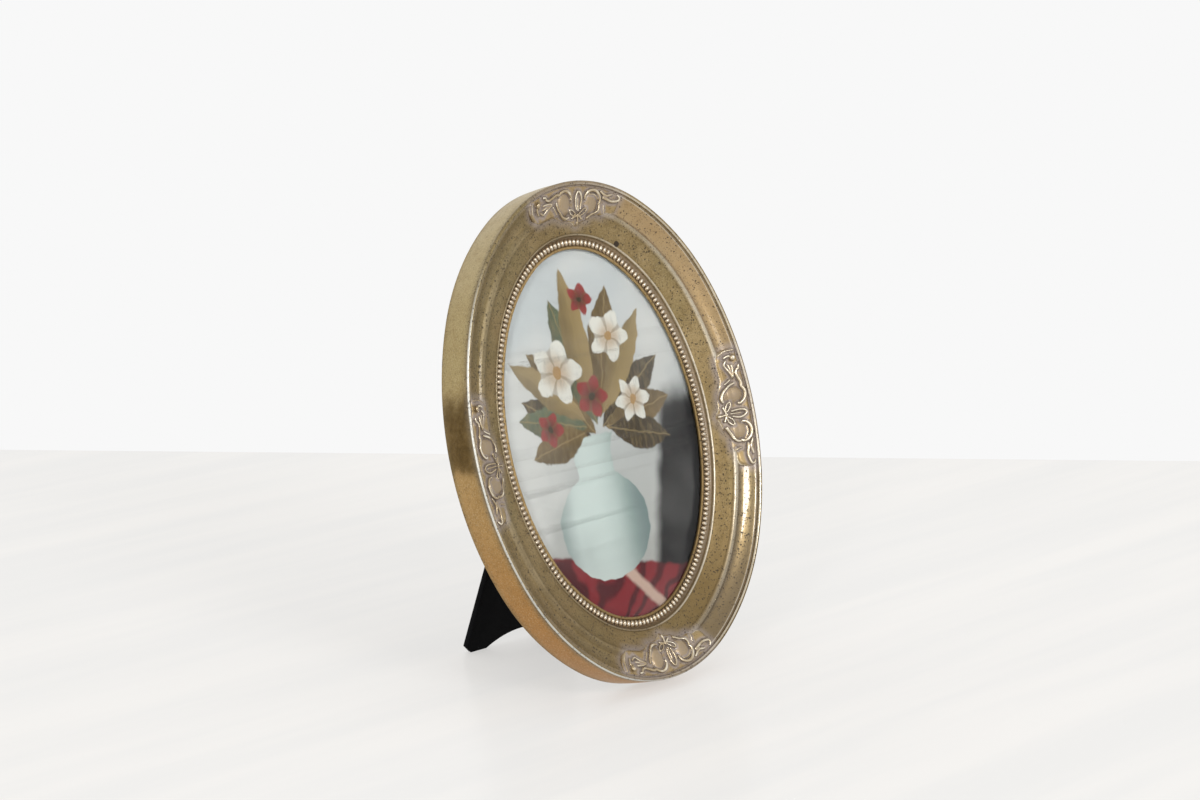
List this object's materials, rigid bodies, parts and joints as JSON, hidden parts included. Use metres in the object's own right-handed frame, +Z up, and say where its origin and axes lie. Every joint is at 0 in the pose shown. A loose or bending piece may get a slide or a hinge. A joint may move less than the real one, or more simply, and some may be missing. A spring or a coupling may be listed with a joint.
{
  "type": "oval picture frame",
  "caption": "Free-standing oval picture frame of cast metal with a beaded inner edge and scroll ornaments, a glazed print and a folding velvet-covered easel leg.",
  "frame": {"origin": "on the surface it stands on, under the centre of the part's bounding box", "axes": "+Z up, the print faces -Y and leans back, +X is the viewer's right"},
  "size_m": [0.1722, 0.1018, 0.218],
  "materials": {
    "antique_gold": "cast metal with a rubbed antique gold finish, satin",
    "glass": "clear sheet glass",
    "print": "printed paper",
    "board": "hardboard",
    "velour": "black flocked paper",
    "hinge_metal": "brass-plated sheet, satin"
  },
  "bodies": {
    "frame": {"moulding": "antique_gold", "bead_row": "antique_gold", "end_ornaments": "antique_gold", "side_ornaments": "antique_gold", "glass_pane": "glass", "print_insert": "print", "back_board": "board", "back_velour": "velour", "turn_button_screws": "hinge_metal", "hinge_board_leaf": "hinge_metal", "hinge_pin": "hinge_metal", "board_rivets": "hinge_metal"},
    "leg": {"leg_board": "board", "leg_velour_front": "velour", "leg_velour_rear": "velour", "hinge_leg_leaf": "hinge_metal", "leg_rivets": "hinge_metal"},
    "turn_button_upper_right": {"turn_button_upper_right": "hinge_metal"},
    "turn_button_upper_left": {"turn_button_upper_left": "hinge_metal"},
    "turn_button_lower_left": {"turn_button_lower_left": "hinge_metal"},
    "turn_button_lower_right": {"turn_button_lower_right": "hinge_metal"}
  },
  "joints": [
    {"name": "leg_fold", "type": "hinge", "parent": "frame", "child": "leg", "pos_m": [0, 0.01441, 0.14782], "axis": [-1, 0, 0], "range_deg": [0, 30.9]},
    {"name": "turn_button_upper_right_swivel", "type": "hinge", "parent": "frame", "child": "turn_button_upper_right", "pos_m": [0.04338, 0.02041, 0.17334], "axis": [0, 0.9542, -0.299], "continuous": true},
    {"name": "turn_button_upper_left_swivel", "type": "hinge", "parent": "frame", "child": "turn_button_upper_left", "pos_m": [-0.04338, 0.02041, 0.17334], "axis": [0, 0.9542, -0.299], "continuous": true},
    {"name": "turn_button_lower_left_swivel", "type": "hinge", "parent": "frame", "child": "turn_button_lower_left", "pos_m": [-0.04338, -0.02151, 0.03955], "axis": [0, 0.9542, -0.299], "continuous": true},
    {"name": "turn_button_lower_right_swivel", "type": "hinge", "parent": "frame", "child": "turn_button_lower_right", "pos_m": [0.04338, -0.02151, 0.03955], "axis": [0, 0.9542, -0.299], "continuous": true}
  ]
}
